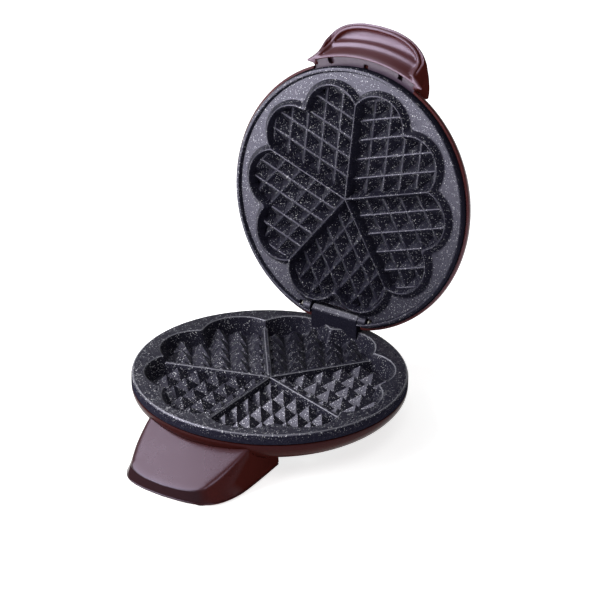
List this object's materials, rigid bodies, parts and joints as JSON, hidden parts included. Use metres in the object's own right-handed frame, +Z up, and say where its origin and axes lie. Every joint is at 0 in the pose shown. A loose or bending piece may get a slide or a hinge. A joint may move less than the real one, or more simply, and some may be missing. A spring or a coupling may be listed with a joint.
{
  "type": "waffle maker",
  "caption": "Round electric waffle maker with heart-patterned baking plates, a domed hinged lid with a scooped grip, and a sloping front grip that doubles as its foot.",
  "frame": {"origin": "middle of the open part's footprint box, on the table", "axes": "+Z up, +Y from the front grip towards the hinge, +X to the right seen from the front"},
  "size_m": [0.206, 0.288, 0.2723],
  "materials": {
    "coating": "dark stone-look non-stick coating with fine white specks, semi-gloss",
    "housing": "brown metallic lacquer, glossy",
    "panel": "mauve-brown metallic lacquer, satin",
    "underside": "black moulded, fine texture",
    "steel": "zinc-plated",
    "rubber": "matt black",
    "element": "heat-toned sheath",
    "reflector": "bright pressed sheet",
    "control": "plain can",
    "terminal": "matt white",
    "lead": "silicone sleeve",
    "lens": "clear tinted",
    "board": "laminate"
  },
  "bodies": {
    "base": {"lower_plate": "coating", "base_shell": "housing", "base_grip_tray": "housing", "base_grip_cover": "housing", "bottom_cover": "underside", "base_screws": "steel", "hinge_pin": "steel", "hinge_retaining_rings": "steel", "front_pads": "rubber", "rear_feet": "rubber", "lead_inlet_bush": "rubber", "lower_heating_element": "element", "lower_reflector": "reflector", "lower_thermostat": "control", "thermal_fuse": "control", "terminal_block": "terminal", "supply_leads": "lead"},
    "lid": {"upper_plate": "coating", "lid_shell": "housing", "lid_grip": "housing", "lid_grip_panel": "panel", "upper_heating_element": "element", "upper_thermostat": "control", "upper_reflector": "reflector", "lid_mount_ring": "steel", "upper_plate_screws": "steel", "signal_lenses": "lens", "lamp_board": "board"}
  },
  "joints": [
    {"name": "lid_hinge", "type": "hinge", "parent": "base", "child": "lid", "pos_m": [0, 0.0891, 0.0539], "axis": [1, 0, 0], "range_deg": [0, 99.2]}
  ]
}
